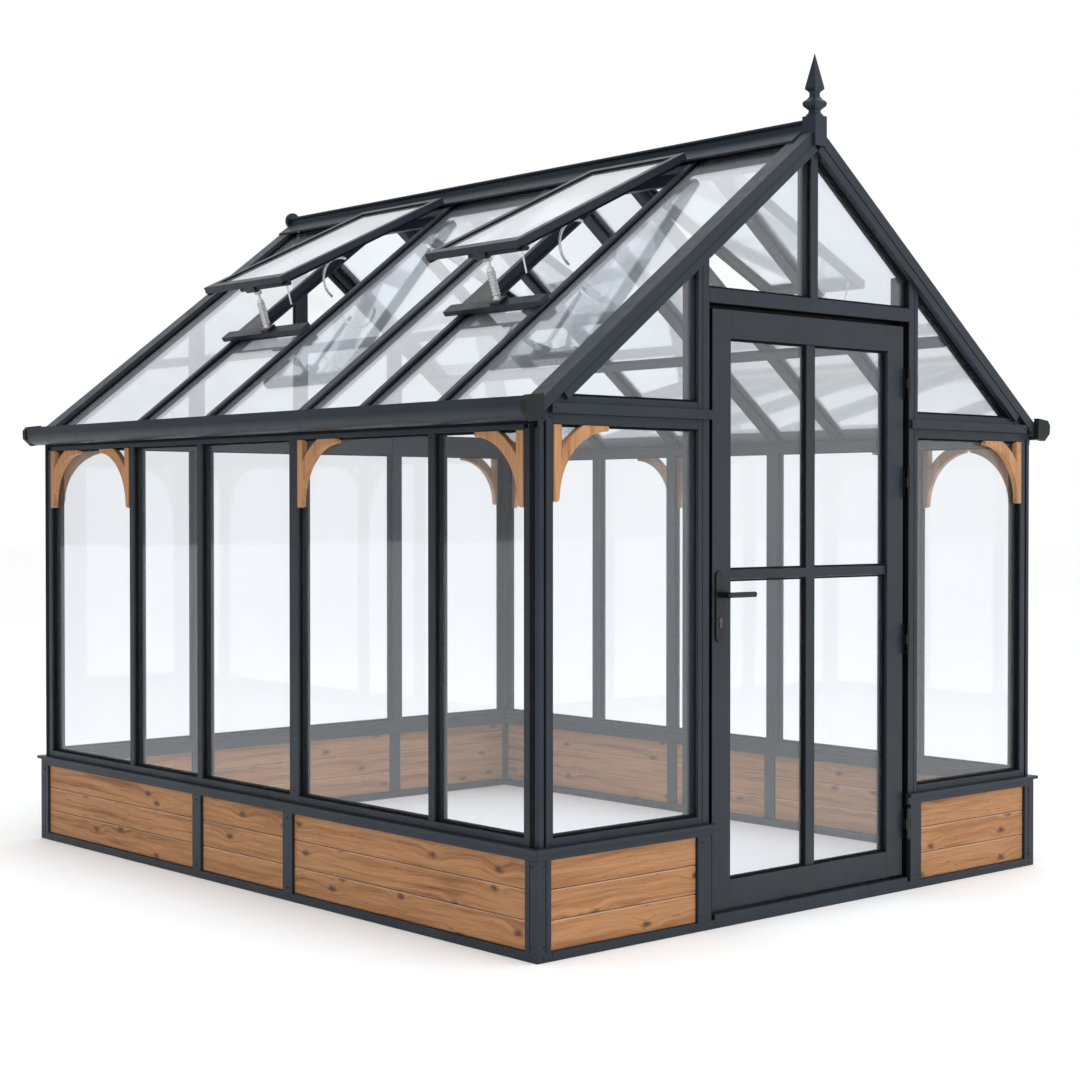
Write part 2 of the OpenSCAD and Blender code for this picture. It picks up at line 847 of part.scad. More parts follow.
// The moving half: plate on the edge of the leaf, and the middle knuckle.
module hinge_door_half() {
    third = hinge_h / 3;
    translate([-12, 9, 0]) cube([3, 24, hinge_h]);
    difference() {
        translate([0, 0, third + 0.5]) {
            cylinder(h = third - 1, r = hinge_r);
            translate([-12, -3, 0]) cube([12, 12, third - 1]);
        }
        cylinder(h = hinge_h, r = 3 + running_gap);
    }
}

module hinge_door_halves() color(black_col) for (z = hinge_z)
    translate([hinge_x, hinge_y, z - hinge_h / 2]) hinge_door_half();

plate_z = [913, 1143];
plate_t = 6;

module plate_outline() {
    hull() {
        translate([lock_x, plate_z[0] + 20]) circle(20, $fn = 32);
        translate([lock_x, plate_z[1] - 20]) circle(20, $fn = 32);
    }
}

module lock_plates() color(black_col) difference() {
    for (y = [leaf_y, leaf_y + leaf_t + plate_t])
        translate([0, y, 0]) rotate([90, 0, 0]) linear_extrude(plate_t)
            plate_outline();
    lock_bores(spindle_r + running_gap);
    barrel_shape(0.3);
}

// Lock barrel: a round plug over a narrow tail, right through the leaf.
module barrel_shape(gap) {
    z = lever_z - 82;
    translate([lock_x, leaf_y + leaf_t + plate_t + 2 + gap, z])
        rotate([90, 0, 0])
            linear_extrude(leaf_t + 2 * plate_t + 4 + 2 * gap) {
                circle(8.5 + gap, $fn = 48);
                translate([-5 - gap, -24 - gap])
                    square([10 + 2 * gap, 24]);
            }
}

module lock_barrel() color(silver_col) barrel_shape(0);

// Lever handle: a collar on the spindle and a round arm towards the
// hinges, on the outer and the inner face.
module lever_half() {
    cylinder(h = 40, r = 10);
    translate([0, 0, 40]) rotate([0, 90, 0]) cylinder(h = 118, r = 9);
    translate([0, 0, 40]) sphere(10);
}

module door_lever() color(black_col)
    translate([lock_x, leaf_y + leaf_t / 2, lever_z]) {
        reach = leaf_t / 2 + plate_t + 1;
        rotate([90, 0, 0]) translate([0, 0, -reach])
            cylinder(h = 2 * reach, r = spindle_r);
        rotate([90, 0, 0]) translate([0, 0, reach]) lever_half();
        mirror([0, 1, 0]) rotate([90, 0, 0]) translate([0, 0, reach])
            lever_half();
    }

sole_frame();
base_posts();
base_panels_side();
base_panels_gable();
base_caps();
threshold();
corner_posts();
wall_posts();
sill_rails();
eave_rails();
door_posts();
rear_posts();
gable_rails();
gable_drip_moulds();
door_head();
king_posts();
door_stops();
rakes();
gable_rafters();
roof_bars();
ridge_cap();
ridge_beam();
purlins();
gutters();
gutter_ends();
finial();
rear_ridge_boss();
vent_curbs();
vent_frames();
vent_glass();
vent_openers();
opener_brackets();
side_glass();
gable_glass();
roof_glass();
corner_brackets();
door_stiles();
door_rails();
door_bars();
door_glass();
hinge_frame_halves();
hinge_door_halves();
lock_plates();
lock_barrel();
door_lever();
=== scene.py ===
"""Looks of the glass greenhouse: paint, glass, boards, seals, screws and the vent gear."""

import json
import math
import random

import bmesh
import bpy
from mathutils import Matrix, Vector


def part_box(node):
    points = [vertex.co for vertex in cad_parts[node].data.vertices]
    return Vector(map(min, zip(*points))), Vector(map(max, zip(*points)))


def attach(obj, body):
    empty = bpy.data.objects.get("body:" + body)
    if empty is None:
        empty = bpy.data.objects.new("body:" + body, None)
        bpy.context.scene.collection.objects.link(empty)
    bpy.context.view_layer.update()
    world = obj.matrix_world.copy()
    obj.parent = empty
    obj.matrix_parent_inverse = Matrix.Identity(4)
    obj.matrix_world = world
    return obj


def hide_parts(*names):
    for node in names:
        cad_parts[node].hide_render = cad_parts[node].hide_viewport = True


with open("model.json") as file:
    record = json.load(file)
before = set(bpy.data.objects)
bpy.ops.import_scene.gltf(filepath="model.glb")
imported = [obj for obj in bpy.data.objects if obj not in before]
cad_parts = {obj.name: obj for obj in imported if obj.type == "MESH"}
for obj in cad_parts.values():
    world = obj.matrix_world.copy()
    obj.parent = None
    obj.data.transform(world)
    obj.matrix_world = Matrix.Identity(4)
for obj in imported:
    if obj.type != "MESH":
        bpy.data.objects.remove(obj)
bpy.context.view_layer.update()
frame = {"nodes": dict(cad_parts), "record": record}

MM = 0.001

# ---- Sizes of the building that the trim is set out from ----

APEX_Z = 2.619
ROOF_HALF_W = 1.25
ROOF_EAVE_Z = 1.654
PITCH = math.atan2(APEX_Z - ROOF_EAVE_Z, ROOF_HALF_W)
THIN_POSTS_Y = (-1.010, 0.340, 0.820)
MAIN_POST_Y = -0.260
BASE_POSTS_Y = (-0.235, 0.345)

# Each vent's hinge line and length down the slope, and the rise of its curb over the glass.
VENT_BAYS = ((-1.010, -0.530), (0.340, 0.870))
VENT_TOP = 0.108
VENT_LEN = 0.865
VENT_FOOT = VENT_TOP + VENT_LEN
VENT_ANGLE = math.radians(12)
CURB_H = 0.012
OPENER_SHARE = 0.44
OPENER_LEAN = math.radians(20)
OPENER_LEN = 0.146
OPENER_SOLE = 0.011

# Right-hand roof slope: +x runs down it from the ridge and +z stands square off it.
SLOPE = Matrix.Translation((0, 0, APEX_Z)) @ Matrix.Rotation(PITCH, 4, "Y")


def on_flap(bay):
    """The frame of a vent's opened flap, with its origin at the hinge line."""
    hinge = Matrix.Translation((VENT_TOP, bay[0], CURB_H))
    return SLOPE @ hinge @ Matrix.Rotation(-VENT_ANGLE, 4, "Y")


def opener_y(bay):
    """How far along the building a vent's opener stands."""
    return bay[0] + OPENER_SHARE * (bay[1] - bay[0])


def on_opener(bay):
    """The frame of a vent's opener, with +z up its cylinder from the sill."""
    foot = Matrix.Translation((VENT_FOOT, opener_y(bay), CURB_H + OPENER_SOLE))
    return SLOPE @ foot @ Matrix.Rotation(-OPENER_LEAN, 4, "Y")


# ---- Finishes ----

def add(tree, kind, links=None, values=None, **settings):
    """Adds a shader node, with its settings, its sockets' values and what feeds it."""
    node = tree.nodes.new("ShaderNode" + kind)
    for name, value in settings.items():
        setattr(node, name, value)
    for name, value in (values or {}).items():
        node.inputs[name].default_value = value
    for name, source in (links or {}).items():
        tree.links.new(source, node.inputs[name])
    return node


def new_finish(name):
    """A material with an empty node tree but for its output."""
    material = bpy.data.materials.new(name)
    material.use_nodes = True
    tree = material.node_tree
    tree.nodes.clear()
    return material, tree, tree.nodes.new("ShaderNodeOutputMaterial")


def mixed(tree, links, values, blend="MIX"):
    """The colour A mixed with the colour B by a factor."""
    node = add(tree, "Mix", links, values, data_type="RGBA", blend_type=blend)
    return node.outputs[2]


def ramp(tree, source, stops):
    """A colour ramp through (place, colour) stops."""
    node = add(tree, "ValToRGB", {"Fac": source})
    band = node.color_ramp
    while len(band.elements) < len(stops):
        band.elements.new(0.5)
    for element, (place, colour) in zip(band.elements, stops):
        element.position = place
        element.color = (*colour, 1)
    return node.outputs["Color"]


def noise(tree, vector, scale, detail=2.0, rough=0.5, distortion=0.0):
    """A noise value from 0 to 1."""
    values = {"Scale": scale, "Detail": detail, "Roughness": rough, "Distortion": distortion}
    return add(tree, "TexNoise", {"Vector": vector}, values).outputs["Fac"]


def stretched(tree, vector, scale):
    """The coordinates scaled by a different amount along each axis."""
    return add(tree, "Mapping", {"Vector": vector}, {"Scale": scale}).outputs["Vector"]


def between(tree, source, low, high, to_low, to_high):
    """The part of a value from low to high, spread over to_low to to_high."""
    values = {"From Min": low, "From Max": high, "To Min": to_low, "To Max": to_high}
    return add(tree, "MapRange", {"Value": source}, values, clamp=True).outputs["Result"]


def bumped(tree, height, strength, distance):
    """A normal that follows a height."""
    values = {"Strength": strength, "Distance": distance}
    return add(tree, "Bump", {"Height": height}, values).outputs["Normal"]


def painted(name, low, high, rough, shine, peel=0.12, grain=900.0):
    """A coated, moulded or rubber skin: a fine orange peel and slow changes of tone and sheen."""
    material, tree, out = new_finish(name)
    place = add(tree, "TexCoord").outputs["Object"]
    tone = ramp(tree, noise(tree, place, 2.6, 4.0), [(0.3, low), (0.7, high)])
    sheen = between(tree, noise(tree, place, 24.0, 3.0), 0.3, 0.7, rough[0], rough[1])
    skin = bumped(tree, noise(tree, place, grain, 2.0), peel, 0.0006)
    body = add(tree, "BsdfPrincipled", {"Base Color": tone, "Roughness": sheen, "Normal": skin},
               {"Specular IOR Level": shine})
    tree.links.new(body.outputs["BSDF"], out.inputs["Surface"])
    return material


def brushed(name, low, high, along):
    """Drawn aluminium or steel, with fine lines that are stretched along its axes."""
    material, tree, out = new_finish(name)
    place = add(tree, "TexCoord").outputs["Object"]
    lines = noise(tree, stretched(tree, place, along), 1.0, 4.0)
    tone = ramp(tree, lines, [(0.3, low), (0.7, high)])
    sheen = between(tree, lines, 0.3, 0.7, 0.22, 0.38)
    skin = bumped(tree, lines, 0.15, 0.0003)
    body = add(tree, "BsdfPrincipled", {"Base Color": tone, "Roughness": sheen, "Normal": skin},
               {"Metallic": 1.0})
    tree.links.new(body.outputs["BSDF"], out.inputs["Surface"])
    return material


def glazed(name, tint, least, veil_most):
    """Clear toughened glass: a mirror share that grows at a glancing look, over a clear pane, under a
    white veil of painted reflection.
    """
    material, tree, out = new_finish(name)
    place = add(tree, "TexCoord").outputs["Object"]
    facing = add(tree, "LayerWeight", values={"Blend": 0.5}).outputs["Facing"]
    glance = add(tree, "Math", {0: facing}, {1: 5.0}, operation="POWER").outputs["Value"]
    share = between(tree, glance, 0.0, 1.0, least, 1.0)
    ripple = bumped(tree, noise(tree, place, 1.7, 1.0), 0.05, 0.01)
    clear = add(tree, "BsdfTransparent", values={"Color": (*tint, 1)})
    mirror = add(tree, "BsdfGlossy", {"Normal": ripple},
                 {"Color": (0.97, 0.985, 1, 1), "Roughness": 0.03})
    pane = add(tree, "MixShader", {0: share, 1: clear.outputs[0], 2: mirror.outputs[0]})
    # Painted reflection: a white diffuse veil over the pane stands in for the bright studio reflected
    # in it, its strength varied at random by noise.
    veil_shader = add(tree, "BsdfDiffuse", values={"Color": (0.9, 0.95, 1, 1)})
    veil_share = between(tree, noise(tree, place, 0.9, 3.0), 0.35, 0.75, veil_most * 0.4, veil_most)
    seen = add(tree, "MixShader", {0: veil_share, 1: pane.outputs[0], 2: veil_shader.outputs[0]})
    tree.links.new(seen.outputs[0], out.inputs["Surface"])
    return material


def sawn_place(tree, sawn_from):
    """Where each point is in its timber: along, across and through the grain."""
    if sawn_from == "grain":
        return add(tree, "Attribute", attribute_name="grain").outputs["Vector"]
    upright = add(tree, "TexCoord").outputs["Object"]
    return add(tree, "Mapping", {"Vector": upright},
               {"Rotation": (0.0, math.pi / 2, 0.0)}).outputs["Vector"]


def pulled_place(tree, place, ring):
    """The place in the timber once the knots and a slow sway have pulled the grain across."""
    swirl = between(tree, ring, 0.0, 0.3, 0.022, 0.0)
    sway = noise(tree, stretched(tree, place, (1.8, 4.0, 4.0)), 1.0, 2.0)
    wave = between(tree, sway, 0.2, 0.8, -0.011, 0.011)
    pull = add(tree, "Math", {0: swirl, 1: wave}, operation="ADD").outputs["Value"]
    bent = add(tree, "CombineXYZ", {"Y": pull}).outputs["Vector"]
    return add(tree, "VectorMath", {0: place, 1: bent}, operation="ADD").outputs["Vector"]


def timber(name, light, warm, dark, knot, knots_per_m, sawn_from="grain", top_light_share=0.75):
    """Oiled softwood or oak, with its grain along each piece, flecks, knots and a painted top
    highlight.
    """
    material, tree, out = new_finish(name)
    place = sawn_place(tree, sawn_from)
    # Knots pull the grain round them, so their field is worked out first.
    cells = add(tree, "TexVoronoi",
                {"Vector": stretched(tree, place, (knots_per_m * 0.5, knots_per_m, 1.0))},
                {"Scale": 1.0, "Randomness": 1.0}, voronoi_dimensions="2D")
    ring = cells.outputs["Distance"]
    shifted = pulled_place(tree, place, ring)
    figure = noise(tree, stretched(tree, shifted, (1.5, 40.0, 20.0)), 1.0, 6.0, 0.66, 0.12)
    lines = noise(tree, stretched(tree, shifted, (9.0, 420.0, 120.0)), 1.0, 3.0, 0.6)
    base = ramp(tree, figure, [(0.31, dark), (0.43, warm), (0.56, light), (0.74, warm)])
    fine = ramp(tree, lines, [(0.28, (0.62, 0.55, 0.5)), (0.62, (1, 1, 1))])
    grained = mixed(tree, {"A": base, "B": fine}, {"Factor": 0.75}, "MULTIPLY")
    flecks = noise(tree, stretched(tree, shifted, (22.0, 150.0, 90.0)), 1.0, 2.0, 0.5)
    fleck = between(tree, flecks, 0.66, 0.78, 0.0, 0.75)
    flecked = mixed(tree, {"Factor": fleck, "A": grained}, {"B": (*knot, 1)})
    wander = noise(tree, stretched(tree, place, (50.0, 90.0, 60.0)), 1.0, 3.0)
    edge = add(tree, "Math", {0: wander, 2: ring}, {1: 0.12},
               operation="MULTIPLY_ADD").outputs["Value"]
    core = between(tree, edge, 0.085, 0.165, 0.9, 0.0)
    knotted = mixed(tree, {"Factor": core, "A": flecked}, {"B": (*knot, 1)})
    # Painted highlight: faces that turn upward, the eased arris along the top of each board among
    # them, are made paler as if lit from above.
    facing = add(tree, "NewGeometry").outputs["Normal"]
    upward = add(tree, "SeparateXYZ", {"Vector": facing}).outputs["Z"]
    painted_top_light = between(tree, upward, 0.25, 0.6, 0.0, top_light_share)
    toned = mixed(tree, {"Factor": painted_top_light, "A": knotted}, {"B": (0.80, 0.62, 0.46, 1)})
    sheen = between(tree, figure, 0.3, 0.7, 0.62, 0.5)
    skin = bumped(tree, lines, 0.35, 0.0006)
    body = add(tree, "BsdfPrincipled", {"Base Color": toned, "Roughness": sheen, "Normal": skin},
               {"Specular IOR Level": 0.35})
    tree.links.new(body.outputs["BSDF"], out.inputs["Surface"])
    return material


frame_paint = painted("frame_paint", (0.012, 0.019, 0.028), (0.018, 0.027, 0.038),
                      (0.34, 0.46), 0.30)
door_paint = painted("door_paint", (0.014, 0.020, 0.029), (0.019, 0.027, 0.037),
                     (0.36, 0.48), 0.32)
black_plastic = painted("black_plastic", (0.005, 0.006, 0.007), (0.010, 0.011, 0.013), (0.42, 0.6),
                        0.30, peel=0.2, grain=1400.0)
black_metal = painted("black_metal", (0.004, 0.004, 0.005), (0.008, 0.008, 0.010),
                      (0.26, 0.38), 0.4)
# Black rubber of the seals and joints, also used for strips that stand in for shade in gaps, grooves
# and rebates (painted shade).
rubber_and_shade_black = painted("rubber_and_shade_black", (0.002, 0.002, 0.003), (0.005, 0.005, 0.006), (0.6, 0.75),
                      0.12, peel=0.25, grain=1600.0)
bright_metal = brushed("bright_metal", (0.50, 0.51, 0.53), (0.72, 0.73, 0.75), (60, 60, 900))
worn_steel = brushed("worn_steel", (0.07, 0.07, 0.075), (0.16, 0.16, 0.17), (60, 60, 900))
wall_glass = glazed("wall_glass", (0.985, 0.993, 1.0), 0.055, 0.03)
roof_sheet_glass = glazed("roof_sheet_glass", (0.96, 0.98, 1.0), 0.33, 0.12)
board_wood = timber("board_wood", (0.52, 0.265, 0.115), (0.40, 0.185, 0.072),
                    (0.23, 0.098, 0.042), (0.070, 0.032, 0.018), 7.0)
oak = timber("bracket_wood", (0.56, 0.30, 0.14), (0.46, 0.225, 0.095),
             (0.33, 0.145, 0.058), (0.16, 0.068, 0.03), 1.1, "upright", 0.0)

NODE_FINISH = {
    "frame_paint": frame_paint, "door_paint": door_paint, "boards": board_wood,
    "bracket_wood": oak, "glass": wall_glass, "black_plastic": black_plastic,
    "black_metal": black_metal, "bright_metal": bright_metal,
}


def finish_nodes():
    """Gives each CAD node the finish of its slot, and roof panes and lock barrel their own."""
    for part in frame["record"]["subparts"]:
        node = frame["nodes"][part["node"]]
        node.data.materials.clear()
        node.data.materials.append(NODE_FINISH[part["material_slot"]])
    for name in ("roof_glass", "vent_glass"):
        frame["nodes"][name].data.materials[0] = roof_sheet_glass
    frame["nodes"]["lock_barrel"].data.materials[0] = worn_steel


# ---- Working with pieces ----

def new_piece(name, bm, body, finish):
    """Turns a bmesh into a piece that rides on a body."""
    mesh = bpy.data.meshes.new(name)
    bm.to_mesh(mesh)
    bm.free()
    mesh.materials.append(finish)
    piece = bpy.data.objects.new(name, mesh)
    bpy.context.scene.collection.objects.link(piece)
    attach(piece, body)
    return piece


def solids_of(name):
    """The lowest and highest corner of each separate solid of a CAD node."""
    bm = bmesh.new()
    bm.from_mesh(frame["nodes"][name].data)
    bmesh.ops.remove_doubles(bm, verts=bm.verts, dist=1e-5)
    boxes, left = [], set(bm.verts)
    while left:
        reached, edge_of = set(), [left.pop()]
        while edge_of:
            vert = edge_of.pop()
            reached.add(vert)
            for edge in vert.link_edges:
                other = edge.other_vert(vert)
                if other in left:
                    left.discard(other)
                    edge_of.append(other)
        corners = list(zip(*(v.co for v in reached)))
        boxes.append((Vector(min(c) for c in corners), Vector(max(c) for c in corners)))
    bm.free()
    return sorted(boxes, key=lambda b: tuple(round(c, 4) for c in b[0]))


def add_block(bm, low, high, chamfer=0.0, segments=2, frame_of=None):
    """Adds a block between two corners, with its edges eased, in the frame it is set out in."""
    before = set(bm.verts)
    size = Vector(high) - Vector(low)
    middle = (Vector(high) + Vector(low)) / 2
    place = Matrix.Translation(middle) @ Matrix.Diagonal((*size, 1))
    made = bmesh.ops.create_cube(bm, size=1.0, matrix=place)["verts"]
    if chamfer:
        edges = {e for v in made for e in v.link_edges}
        bmesh.ops.bevel(bm, geom=list(edges), offset=chamfer, segments=segments,
                        affect="EDGES", profile=0.5, material=-1, clamp_overlap=True)
    if frame_of:
        bmesh.ops.transform(bm, matrix=frame_of, verts=list(set(bm.verts) - before))


def add_turned(bm, outline, frame_of, steps=16):
    """Adds a turned solid from its half outline of (radius, height) points."""
    before = set(bm.verts)
    verts = [bm.verts.new((radius, 0, height)) for radius, height in outline]
    edges = [bm.edges.new(pair) for pair in zip(verts, verts[1:])]
    bmesh.ops.spin(bm, geom=verts + edges, cent=(0, 0, 0), axis=(0, 0, 1), dvec=(0, 0, 0),
                   angle=math.tau, steps=steps, use_merge=True)
    made = list(set(bm.verts) - before)
    bmesh.ops.remove_doubles(bm, verts=made, dist=1e-6)
    made = list(set(bm.verts) - before)
    bmesh.ops.recalc_face_normals(bm, faces=list({f for v in made for f in v.link_faces}))
    bmesh.ops.transform(bm, matrix=frame_of, verts=made)


def add_mirrored(bm, axis):
    """Adds the same again on the other side of the building."""
    made = bmesh.ops.duplicate(bm, geom=bm.verts[:] + bm.edges[:] + bm.faces[:])["geom"]
    flip = Vector((1, 1, 1))
    flip[axis] = -1
    bmesh.ops.scale(bm, vec=flip, verts=[g for g in made if isinstance(g, bmesh.types.BMVert)])
    bmesh.ops.reverse_faces(bm, faces=[g for g in made if isinstance(g, bmesh.types.BMFace)])


def ease_edges(name, width, segments=2):
    """Rounds the sharp edges of a CAD node where it is drawn, and leaves its mesh as it is."""
    node = frame["nodes"][name]
    weld = node.modifiers.new("weld", "WELD")
    weld.merge_threshold = 1e-5
    flatten = node.modifiers.new("flatten", "DECIMATE")
    flatten.decimate_type = "DISSOLVE"
    flatten.angle_limit = math.radians(1)
    round_off = node.modifiers.new("round_off", "BEVEL")
    round_off.limit_method = "ANGLE"
    round_off.angle_limit = math.radians(35)
    round_off.width = width
    round_off.segments = segments
    round_off.use_clamp_overlap = False


# ---- Boards of the dwarf wall ----

BOARDS_A_PANEL = 3
BOARD_GAP = 2.2 * MM
BOARD_EASE = 3.2 * MM
BATTEN_INSET = 8 * MM

# Each board is cut from its own place in a timber of this length and section.
TIMBER_LEN = 40
TIMBER_W = 9


def add_board(bm, grain, low, high, lengthwise, shift):
    """Adds one board with eased edges. The grain layer keeps where each point is in its timber."""
    before = set(bm.verts)
    add_block(bm, low, high, BOARD_EASE, 2)
    across = 1 - lengthwise
    for vert in set(bm.verts) - before:
        vert[grain] = Vector((vert.co[lengthwise], vert.co.z, vert.co[across])) + shift


def make_boards(name, node, lengthwise, seed):
    """Lays the boards of every panel in a node, each cut from its own stretch of timber."""
    picker = random.Random(seed)
    bm = bmesh.new()
    grain = bm.verts.layers.float_vector.new("grain")
    for low, high in solids_of(node):
        pitch = (high.z - low.z + BOARD_GAP) / BOARDS_A_PANEL
        for row in range(BOARDS_A_PANEL):
            bottom = low.z + row * pitch
            shift = Vector((picker.uniform(0, TIMBER_LEN), picker.uniform(0, TIMBER_W),
                            picker.uniform(0, TIMBER_W)))
            add_board(bm, grain, (low.x, low.y, bottom),
                      (high.x, high.y, bottom + pitch - BOARD_GAP), lengthwise, shift)
    piece = new_piece(name, bm, "house", board_wood)
    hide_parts(node)
    return piece


def make_battens(name, node):
    """The dark batten behind the joints of the boards, so that no light comes through."""
    bm = bmesh.new()
    for low, high in solids_of(node):
        inset = Vector((min(BATTEN_INSET, (high.x - low.x) / 3),
                        min(BATTEN_INSET, (high.y - low.y) / 3), 0))
        add_block(bm, low + inset, high - inset)
    return new_piece(name, bm, "house", black_plastic)


# ---- Seals, linings, and black strips of painted shade ----

# Glazing rubber, sized so its black side also stands in for the shade in the recess beside each bar.
SEAL_AND_SHADE_W = 6 * MM

# The edges of a pane have less face than this, in square metres.
LEAST_PANE = 0.01


def add_seal_and_shade(bm, name, outward, inward):
    """Runs a rubber ring round both faces of each pane in a CAD node, as thick as is said; its black
    also stands in for the shade beside each bar.
    """
    panes = bmesh.new()
    panes.from_mesh(frame["nodes"][name].data)
    bmesh.ops.remove_doubles(panes, verts=panes.verts, dist=1e-5)
    bmesh.ops.dissolve_limit(panes, angle_limit=math.radians(1), verts=panes.verts,
                             edges=panes.edges)
    for face in [f for f in panes.faces if f.calc_area() > LEAST_PANE]:
        middle = face.calc_center_median()
        level = Vector((middle.x, middle.y, 0))
        is_out = face.normal.dot(level) > 0 or face.normal.z > 0.5
        start = set(bm.verts)
        corners = [bm.verts.new(v.co) for v in face.verts]
        pane = bm.faces.new(corners)
        pane.normal_update()
        stand_off = pane.normal * (outward if is_out else inward)
        rim = bmesh.ops.inset_region(bm, faces=[pane], thickness=SEAL_AND_SHADE_W, use_boundary=True,
                                     use_even_offset=True)["faces"]
        bmesh.ops.delete(bm, geom=[pane], context="FACES_ONLY")
        raised = bmesh.ops.extrude_face_region(bm, geom=rim, use_keep_orig=True)["geom"]
        verts = [g for g in raised if isinstance(g, bmesh.types.BMVert)]
        bmesh.ops.translate(bm, vec=stand_off, verts=verts)
        made = set(bm.verts) - start
        bmesh.ops.recalc_face_normals(bm, faces=list({f for v in made for f in v.link_faces}))
    panes.free()


def make_seals_and_shade():
    """Black seals of the fixed panes, and of the pane in the door: glazing rubber that is also
    painted shade in the recesses beside the bars.
    """
    bm = bmesh.new()
    add_seal_and_shade(bm, "side_glass", 11 * MM, 17 * MM)
    add_seal_and_shade(bm, "gable_glass", 11 * MM, 15 * MM)
    add_seal_and_shade(bm, "roof_glass", 9 * MM, 6 * MM)
    add_seal_and_shade(bm, "vent_glass", 5 * MM, 6 * MM)
    new_piece("pane_seals_and_shade", bm, "house", rubber_and_shade_black)
    bm = bmesh.new()
    add_seal_and_shade(bm, "door_glass", 6 * MM, 6 * MM)
    new_piece("door_pane_seals_and_shade", bm, "door", rubber_and_shade_black)


def shade_corner_grooves():
    """A black strip in the groove beside each corner post's nose, on the long walls: painted shade
    that stands in for the shadow in the groove.
    """
    post_low, post_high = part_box("corner_posts")
    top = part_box("eave_rails")[1].z
    bm = bmesh.new()
    groove_near, groove_far = post_high.y - 35 * MM, post_high.y - 12 * MM
    for end in (-1, 1):
        y0, y1 = sorted((end * groove_near, end * groove_far))
        add_block(bm, (post_high.x - 9 * MM, y0, post_low.z),
                  (post_high.x + 1.2 * MM, y1, top), 1.0 * MM)
    add_mirrored(bm, 0)
    new_piece("corner_groove_shade", bm, "house", rubber_and_shade_black)


def make_base_post_joints():
    """The dark joint between the two angles that each corner post of the dwarf wall is made of."""
    low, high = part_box("base_posts")
    proud = 0.4 * MM
    angle_w = 33 * MM
    bm = bmesh.new()
    for end in (-1, 1):
        y0, y1 = sorted((end * (high.y - 1 * MM), end * (high.y + proud)))
        add_block(bm, (high.x - angle_w - 3 * MM, y0, low.z), (high.x - angle_w, y1, high.z))
        y0, y1 = sorted((end * (high.y - angle_w - 2 * MM), end * (high.y - angle_w)))
        add_block(bm, (high.x - 1 * MM, y0, low.z), (high.x + proud, y1, high.z))
    add_mirrored(bm, 0)
    new_piece("base_post_joints", bm, "house", rubber_and_shade_black)


def shade_eave_gaps():
    """A black strip that fills the gap between each eave rail and its gutter: painted shade where
    that gap lies in shadow.
    """
    low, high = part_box("eave_rails")
    overrun = 40 * MM
    bm = bmesh.new()
    add_block(bm, (high.x - 14 * MM, low.y - overrun, high.z - 9 * MM),
              (high.x + 6 * MM, high.y + overrun, high.z + 1 * MM), 1.5 * MM)
    add_mirrored(bm, 0)
    new_piece("eave_gap_shade", bm, "house", rubber_and_shade_black)


# Where the cover strips end down the slope.
STRIP_FOOT = 1.475


def make_gable_cover_strips():
    """The flat cover strip under each barge bar, over the front of the gable rafter."""
    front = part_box("rakes")[0].y + 2 * MM
    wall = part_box("gable_rafters")[0].y
    top, foot = 52 * MM, STRIP_FOOT
    under, over = -66 * MM, -37.5 * MM
    bm = bmesh.new()
    for y0, y1 in ((front, wall), (-wall, -front)):
        add_block(bm, (top, y0, under), (foot, y1, over), 1.2 * MM, 2, SLOPE)
    add_mirrored(bm, 0)
    new_piece("gable_cover_strips", bm, "house", frame_paint)


def shade_door_rebate():
    """Black sheets lining the stepped rebate that the door shuts into: painted shade of that deep
    rebate.
    """
    leaf_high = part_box("door_stiles")[1]
    post_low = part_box("door_posts")[0]
    head_low, head_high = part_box("door_head")
    stop_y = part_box("door_stops")[0].y
    thick = 1.2 * MM
    face_x = head_high.x
    step_x = leaf_high.x + 6 * MM
    step_y = post_low.y + 30 * MM
    front = post_low.y + 2 * MM
    foot, top = post_low.z + 16 * MM, head_low.z - 1 * MM
    bm = bmesh.new()
    for side in (-1, 1):
        for x, y0, y1 in ((face_x, front, step_y), (step_x, step_y, stop_y)):
            x0, x1 = sorted((side * x, side * (x - thick)))
            add_block(bm, (x0, y0, foot), (x1, y1, top))
        x0, x1 = sorted((side * step_x, side * face_x))
        add_block(bm, (x0, step_y - thick, foot), (x1, step_y, top))
    add_block(bm, (-step_x, front, head_low.z - thick), (step_x, stop_y, head_low.z))
    new_piece("rebate_shade", bm, "house", rubber_and_shade_black)


def shade_leaf_edge():
    """A thin black skin round the edge of the door leaf: painted shade of the gap between leaf and
    frame.
    """
    low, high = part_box("door_stiles")
    thick = 0.8 * MM
    front, back = low.y + 2 * MM, high.y - 4 * MM
    bm = bmesh.new()
    for side in (-1, 1):
        x0, x1 = sorted((side * high.x, side * (high.x + thick)))
        add_block(bm, (x0, front, low.z), (x1, back, high.z))
    for z0, z1 in ((low.z - thick, low.z), (high.z, high.z + thick)):
        add_block(bm, (low.x, front, z0), (high.x, back, z1))
    new_piece("leaf_edge_shade", bm, "door", rubber_and_shade_black)


# ---- Screws ----

# Half outline of a pan head with its driver recess, in mm.
SCREW_HEAD = [(0, 0), (4.2, 0), (4.4, 0.5), (3.6, 1.7), (2.2, 2.3), (1.6, 2.35), (1.3, 1.5),
              (0, 1.5)]
MOULD_SCREW_X = 0.53


def add_screw(bm, place, out, size=1.0):
    """A screw head that stands out of a face."""
    turn = Vector(out).to_track_quat("Z", "Y").to_matrix().to_4x4()
    outline = [(r * size * MM, h * size * MM) for r, h in SCREW_HEAD]
    add_turned(bm, outline, Matrix.Translation(place) @ turn, 12)


